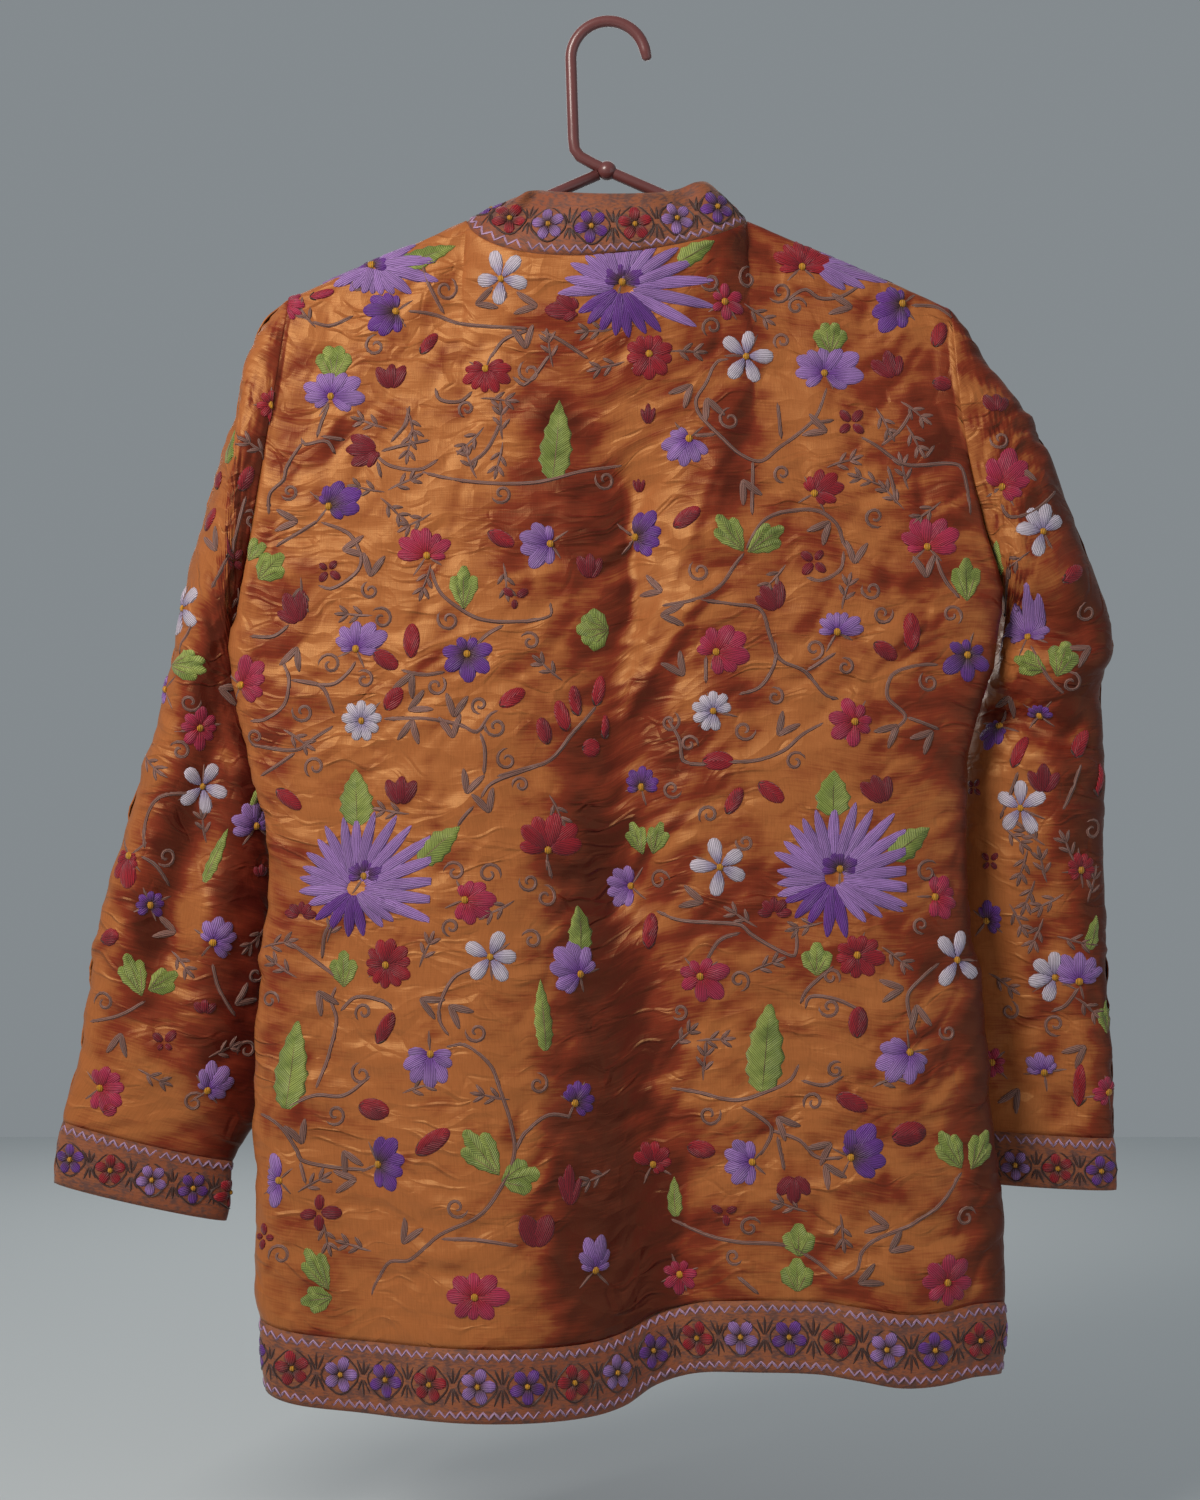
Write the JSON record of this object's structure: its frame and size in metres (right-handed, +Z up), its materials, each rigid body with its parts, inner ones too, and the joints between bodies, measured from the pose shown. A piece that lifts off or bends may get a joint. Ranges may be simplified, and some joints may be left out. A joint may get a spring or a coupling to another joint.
{
  "type": "long embroidered jacket with a stand collar, on a tubular hanger",
  "caption": "Long open-front jacket in shot silk, embroidered all over with flowers and trailing stems, with a stand collar and bordered hem and cuffs, hung on a plastic tube hanger",
  "frame": {"origin": "inner top of the hanger's hook, where a nail or a rail bears", "axes": "+Z up, +Y towards the jacket's open front, -Y out of its back, +X the wearer's right"},
  "size_m": [0.694, 0.1292, 0.8983],
  "materials": {
    "shot_silk": "gold and rust shot silk, lightly crumpled, with chain-stitch embroidery",
    "border_silk": "the same silk under dense brown stitching, with small flowers and lilac zigzags",
    "hanger_plastic": "maroon, smooth and glossy"
  },
  "bodies": {
    "root": {"back": "shot_silk", "front_left": "shot_silk", "front_right": "shot_silk", "sleeve_left": "shot_silk", "sleeve_right": "shot_silk", "collar": "border_silk", "hem_back": "border_silk", "hem_front_left": "border_silk", "hem_front_right": "border_silk", "cuff_left": "border_silk", "cuff_right": "border_silk", "hanger": "hanger_plastic"}
  },
  "joints": []
}
